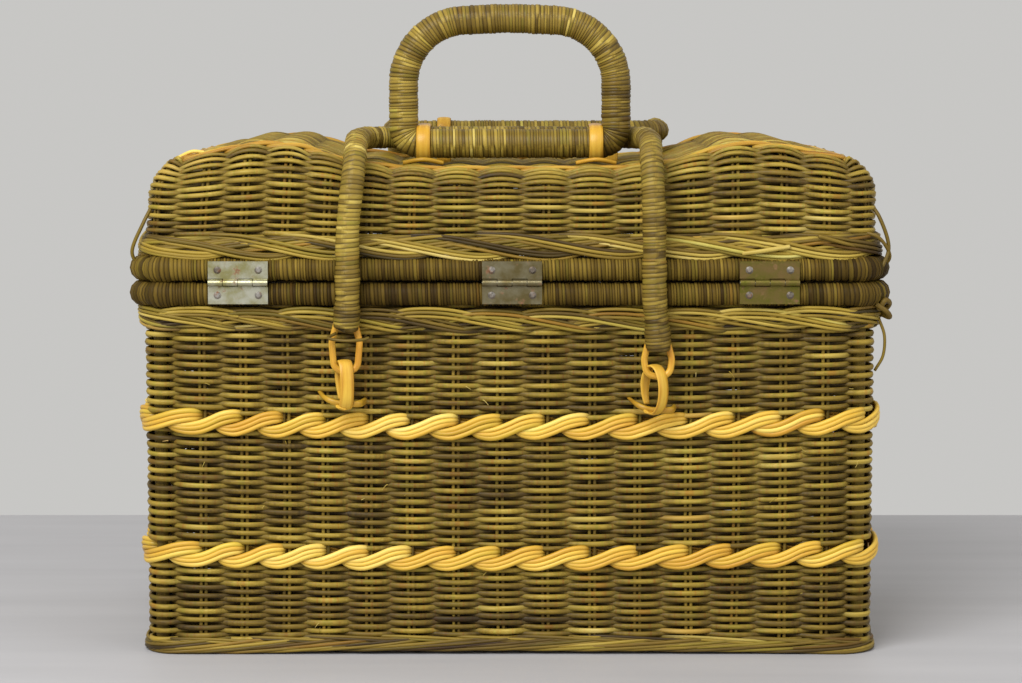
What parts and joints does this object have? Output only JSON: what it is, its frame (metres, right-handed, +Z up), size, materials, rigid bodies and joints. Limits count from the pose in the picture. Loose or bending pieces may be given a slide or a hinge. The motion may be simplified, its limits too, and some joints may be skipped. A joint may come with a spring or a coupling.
{
  "type": "wicker hamper",
  "caption": "Rectangular woven wicker hamper with a domed lid on butt hinges, wrapped rod bails on cane links and a D-shaped carrying grip.",
  "frame": {"origin": "on the ground, under the middle of the hamper's box", "axes": "+Z up, +X along the length, -Y the side with the butt hinges"},
  "size_m": [0.4878, 0.2986, 0.4193],
  "materials": {
    "wicker": "split and round wicker cane, olive-khaki with golden streaks, satin",
    "stake": "round cane stakes, dull olive",
    "border": "plaited wicker border",
    "honey_band": "peeled honey-coloured cane, satin",
    "wrapped_rim": "rod wound tightly with split cane",
    "wrapped_rod": "bent rod wound with split cane",
    "grip_wrap": "thick bent rod wound tightly with split cane",
    "honey_tie": "honey-coloured split cane binding",
    "link_cane": "honey-coloured cane, bent round and split, satin",
    "hinge_plate": "thin tinned steel, tarnished and worn",
    "hinge_pin": "steel wire",
    "nail": "domed nails, dark, one rusty"
  },
  "bodies": {
    "basket": {"body_weave": "wicker", "long_wall_stakes": "stake", "end_wall_stakes": "stake", "corner_posts": "stake", "base_panel": "wicker", "base_sticks": "stake", "foot_border": "border", "low_band": "honey_band", "high_band": "honey_band", "body_border": "border", "body_rim": "wrapped_rim", "body_leaf_nails": "nail", "left_hinge_body_leaf": "hinge_plate", "mid_hinge_body_leaf": "hinge_plate", "right_hinge_body_leaf": "hinge_plate", "left_hinge_pin": "hinge_pin", "mid_hinge_pin": "hinge_pin", "right_hinge_pin": "hinge_pin", "back_left_staple": "link_cane", "back_right_staple": "link_cane", "front_left_staple": "link_cane", "front_right_staple": "link_cane"},
    "lid": {"lid_weave": "wicker", "lid_stakes": "stake", "lid_end_stakes": "stake", "lid_border": "border", "lid_band": "honey_band", "lid_rim": "wrapped_rim", "lid_leaf_nails": "nail", "left_hinge_lid_leaf": "hinge_plate", "mid_hinge_lid_leaf": "hinge_plate", "right_hinge_lid_leaf": "hinge_plate", "lid_left_strap": "honey_tie", "lid_right_strap": "honey_tie"},
    "back_links": {"back_left_link": "link_cane", "back_right_link": "link_cane"},
    "back_bail_body": {"back_bail": "wrapped_rod", "back_bail_left_loop": "link_cane", "back_bail_right_loop": "link_cane", "grip_left_tie": "honey_tie", "grip_right_tie": "honey_tie"},
    "grip_body": {"grip": "grip_wrap"},
    "front_bail_body": {"front_bail": "wrapped_rod", "front_bail_left_loop": "link_cane", "front_bail_right_loop": "link_cane"},
    "front_left_link_body": {"front_left_link": "link_cane"},
    "front_right_link_body": {"front_right_link": "link_cane"}
  },
  "joints": [
    {"name": "lid_hinge", "type": "hinge", "parent": "basket", "child": "lid", "pos_m": [0, -0.1342, 0.2405], "axis": [1, 0, 0], "range_deg": [0, 100]},
    {"name": "back_link_swing", "type": "hinge", "parent": "basket", "child": "back_links", "pos_m": [0, -0.13822, 0.1615], "axis": [1, 0, 0], "range_deg": [0, 40]},
    {"name": "back_bail_swing", "type": "hinge", "parent": "back_links", "child": "back_bail_body", "pos_m": [0, -0.13822, 0.1815], "axis": [1, 0, 0], "range_deg": [0, 105]},
    {"name": "grip_fold", "type": "hinge", "parent": "back_bail_body", "child": "grip_body", "pos_m": [0, -0.0428, 0.3261], "axis": [1, 0, 0], "range_deg": [0, 88]},
    {"name": "front_bail_swing", "type": "hinge", "parent": "lid", "child": "front_bail_body", "pos_m": [0, 0.025, 0.3325], "axis": [1, 0, 0], "range_deg": [0, 100]},
    {"name": "front_left_link_swing", "type": "hinge", "parent": "basket", "child": "front_left_link_body", "pos_m": [0, 0.13822, 0.1615], "axis": [1, 0, 0], "range_deg": [-3, 90]},
    {"name": "front_right_link_swing", "type": "hinge", "parent": "basket", "child": "front_right_link_body", "pos_m": [0, 0.13822, 0.1615], "axis": [1, 0, 0], "range_deg": [-3, 90]}
  ],
  "couplings": [
    {"joint": "back_link_swing", "follows": "lid_hinge", "ratio": 0.4},
    {"joint": "back_bail_swing", "follows": "lid_hinge", "ratio": 1.05}
  ]
}
